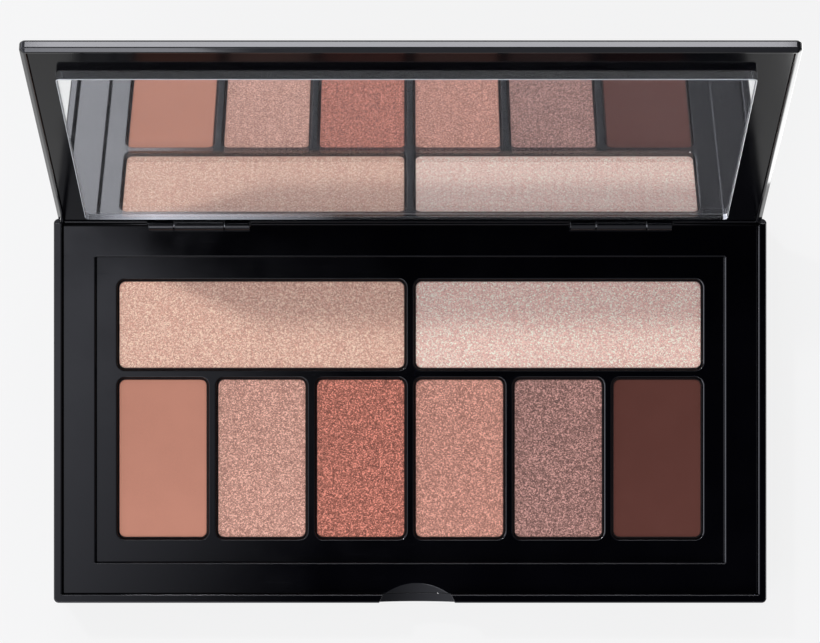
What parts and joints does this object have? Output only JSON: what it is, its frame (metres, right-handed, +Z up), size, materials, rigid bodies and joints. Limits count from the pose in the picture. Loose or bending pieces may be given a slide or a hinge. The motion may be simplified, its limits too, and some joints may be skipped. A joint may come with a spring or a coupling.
{
  "type": "eyeshadow palette",
  "caption": "Slim black eyeshadow palette with a hinged mirror lid, a stepped deck and pressed powders in rounded wells.",
  "frame": {"origin": "centre of the base's flat underside", "axes": "+X to the right along the hinge, +Y towards the hinge side, +Z up out of the base; the lid is open"},
  "size_m": [0.115, 0.0861, 0.0642],
  "materials": {
    "case_plastic": "polished black moulding",
    "inner_plastic": "satin black moulding",
    "mirror": "back-silvered glass",
    "pan_metal": "thin pressed pan",
    "pin_steel": "drawn wire",
    "magnet": "nickel plated",
    "adhesive": "double-sided film",
    "label": "blank coated label",
    "powder_peach_shimmer": "pressed powder with fine shimmer",
    "powder_pale_pink_shimmer": "pressed powder with fine shimmer",
    "powder_clay_matte": "matte pressed powder",
    "powder_rose_shimmer": "pressed powder with fine shimmer",
    "powder_copper_shimmer": "pressed powder with coarse shimmer",
    "powder_apricot_shimmer": "pressed powder with fine shimmer",
    "powder_taupe_shimmer": "pressed powder with fine shimmer",
    "powder_brown_matte": "matte pressed powder"
  },
  "bodies": {
    "base": {"base_shell": "case_plastic", "deck_frame": "case_plastic", "pan_tray": "inner_plastic", "pan_large_left": "pan_metal", "pan_large_right": "pan_metal", "pan_small_1": "pan_metal", "pan_small_2": "pan_metal", "pan_small_3": "pan_metal", "pan_small_4": "pan_metal", "pan_small_5": "pan_metal", "pan_small_6": "pan_metal", "powder_large_left": "powder_peach_shimmer", "powder_large_right": "powder_pale_pink_shimmer", "powder_small_1": "powder_clay_matte", "powder_small_2": "powder_rose_shimmer", "powder_small_3": "powder_copper_shimmer", "powder_small_4": "powder_apricot_shimmer", "powder_small_5": "powder_taupe_shimmer", "powder_small_6": "powder_brown_matte", "pan_adhesive": "adhesive", "base_magnets": "magnet", "hinge_pins": "pin_steel", "underside_label": "label"},
    "lid": {"lid_shell": "case_plastic", "lid_liner": "inner_plastic", "mirror_glass": "mirror", "mirror_adhesive": "adhesive", "lid_magnets": "magnet"}
  },
  "joints": [
    {"name": "lid_hinge", "type": "hinge", "parent": "base", "child": "lid", "pos_m": [0, 0.03, 0.0091], "axis": [-1, 0, 0], "range_deg": [-113, 6]}
  ]
}
